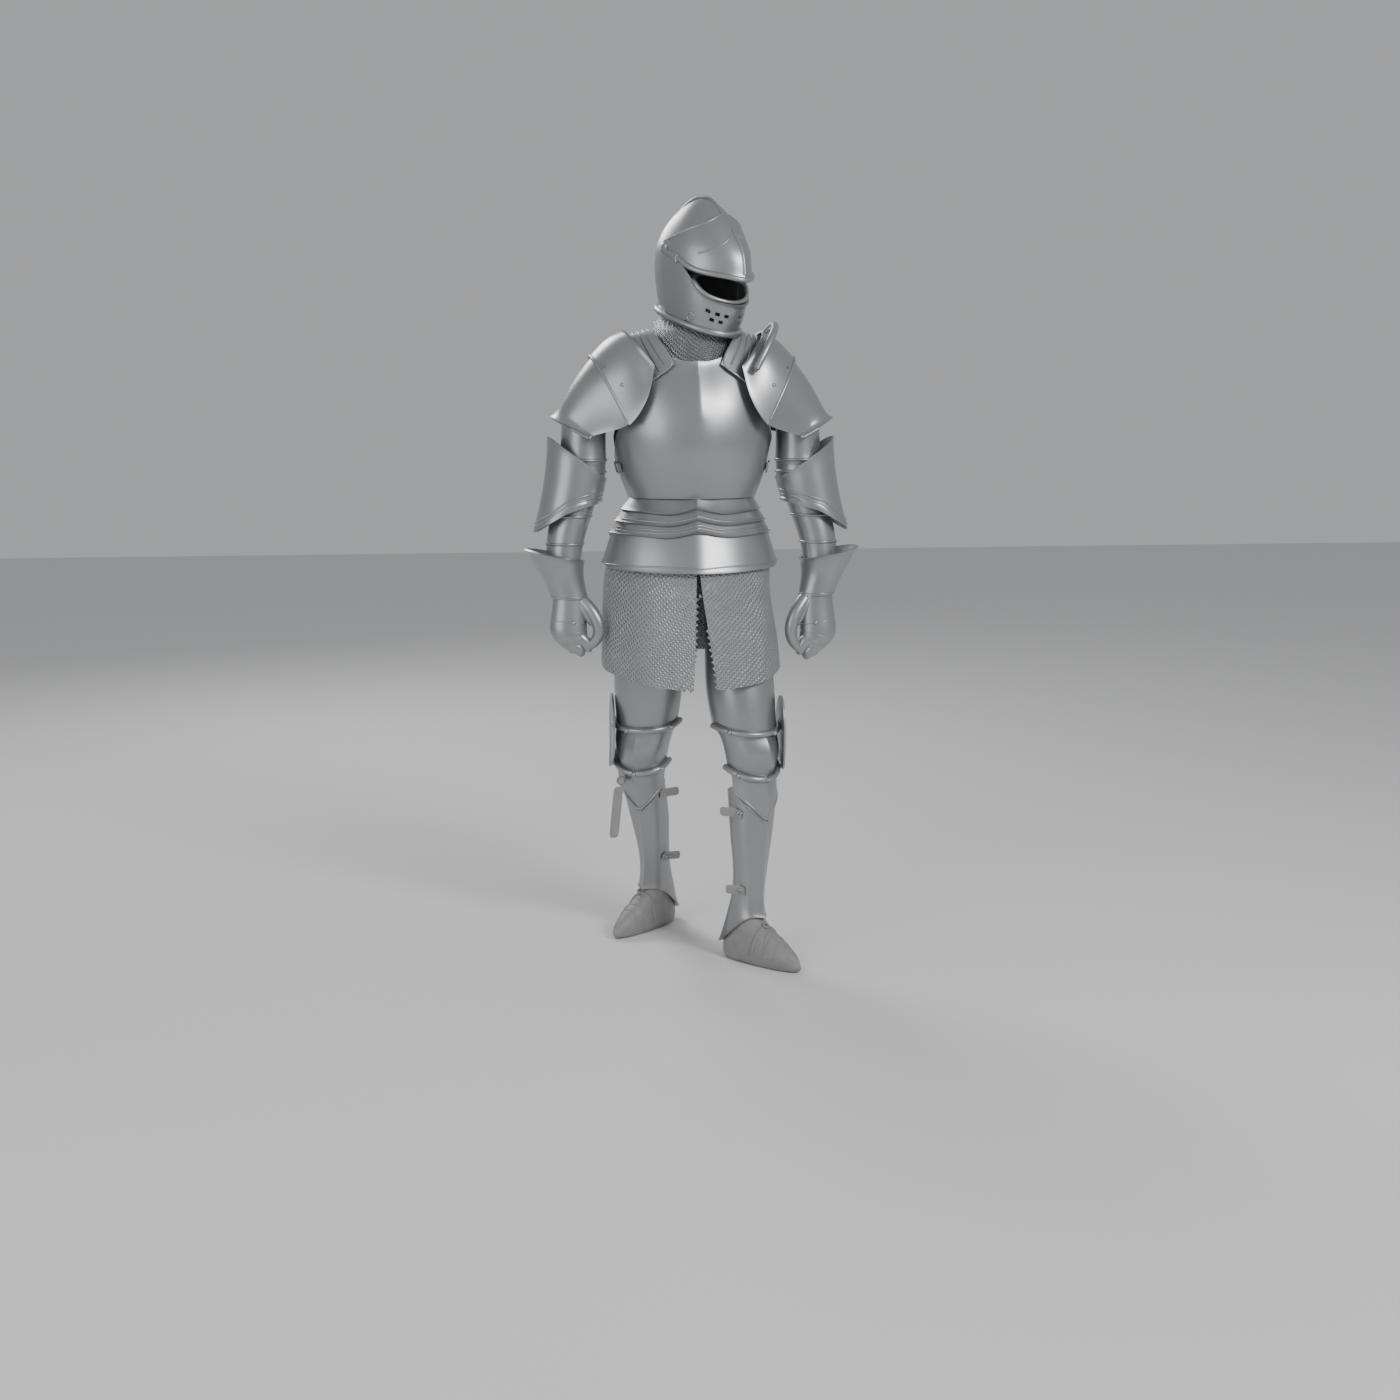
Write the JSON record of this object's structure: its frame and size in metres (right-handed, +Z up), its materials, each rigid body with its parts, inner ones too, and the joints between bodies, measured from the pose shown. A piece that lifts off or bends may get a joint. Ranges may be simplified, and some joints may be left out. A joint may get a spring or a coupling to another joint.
{
  "type": "suit of plate armour",
  "caption": "Full suit of steel plate armour with visored helmet, mail collar and skirt, gauntlets and leather shoes, standing hollow as worn.",
  "frame": {"origin": "inside the waist, on the middle line of the body, 1143 mm above the floor, where the wearer's hips and waist carry the harness", "axes": "+Z up, -Y the way the chest faces, +X the wearer's left"},
  "size_m": [0.8318, 0.5308, 1.8516],
  "materials": {
    "plate_steel": "satin, brushed by hand",
    "mail_steel": "dull riveted rings",
    "grey_leather": "matt, worn"
  },
  "bodies": {
    "suit": {"helmet_skull": "plate_steel", "helmet_bevor": "plate_steel", "breastplate": "plate_steel", "backplate": "plate_steel", "fauld_lame_1": "plate_steel", "fauld_lame_2": "plate_steel", "fauld_lame_3": "plate_steel", "fauld_lame_4": "plate_steel", "culet_lame_1": "plate_steel", "culet_lame_2": "plate_steel", "culet_lame_3": "plate_steel", "shoulder_yoke_left": "plate_steel", "pauldron_main_left": "plate_steel", "pauldron_lower_left": "plate_steel", "rerebrace_left": "plate_steel", "vambrace_left": "plate_steel", "couter_left": "plate_steel", "gauntlet_cuff_left": "plate_steel", "gauntlet_hand_left": "plate_steel", "gauntlet_thumb_left": "plate_steel", "cuisse_left": "plate_steel", "knee_band_upper_left": "plate_steel", "poleyn_left": "plate_steel", "poleyn_wing_left": "plate_steel", "shoulder_yoke_right": "plate_steel", "pauldron_main_right": "plate_steel", "pauldron_lower_right": "plate_steel", "rerebrace_right": "plate_steel", "vambrace_right": "plate_steel", "couter_right": "plate_steel", "gauntlet_cuff_right": "plate_steel", "gauntlet_hand_right": "plate_steel", "gauntlet_thumb_right": "plate_steel", "cuisse_right": "plate_steel", "knee_band_upper_right": "plate_steel", "poleyn_right": "plate_steel", "poleyn_wing_right": "plate_steel", "haute_piece_left": "plate_steel", "mail_collar": "mail_steel", "mail_skirt": "mail_steel", "side_strap_left": "grey_leather", "side_strap_right": "grey_leather"},
    "visor": {"helmet_visor": "plate_steel", "helmet_pivot_left": "plate_steel", "helmet_pivot_right": "plate_steel"},
    "lower_leg_left": {"knee_band_lower_left": "plate_steel", "demigreave_left": "plate_steel", "greave_left": "plate_steel", "greave_strap_upper_left": "grey_leather", "greave_strap_lower_left": "grey_leather", "shoe_left": "grey_leather"},
    "lower_leg_right": {"knee_band_lower_right": "plate_steel", "demigreave_right": "plate_steel", "greave_right": "plate_steel", "greave_strap_upper_right": "grey_leather", "greave_strap_lower_right": "grey_leather", "shoe_right": "grey_leather", "hanging_strap_right": "grey_leather", "strap_ball_right": "grey_leather"}
  },
  "joints": [
    {"name": "visor_hinge", "type": "hinge", "parent": "suit", "child": "visor", "pos_m": [0.0144, 0.013, 0.592], "axis": [-0.848, -0.5299, 0], "range_deg": [0, 60]},
    {"name": "knee_left", "type": "hinge", "parent": "suit", "child": "lower_leg_left", "pos_m": [0.134, -0.076, -0.627], "axis": [0.8829, 0.4695, 0], "range_deg": [0, 26]},
    {"name": "knee_right", "type": "hinge", "parent": "suit", "child": "lower_leg_right", "pos_m": [-0.12, 0.042, -0.631], "axis": [0.9272, -0.3746, 0], "range_deg": [0, 95]}
  ]
}
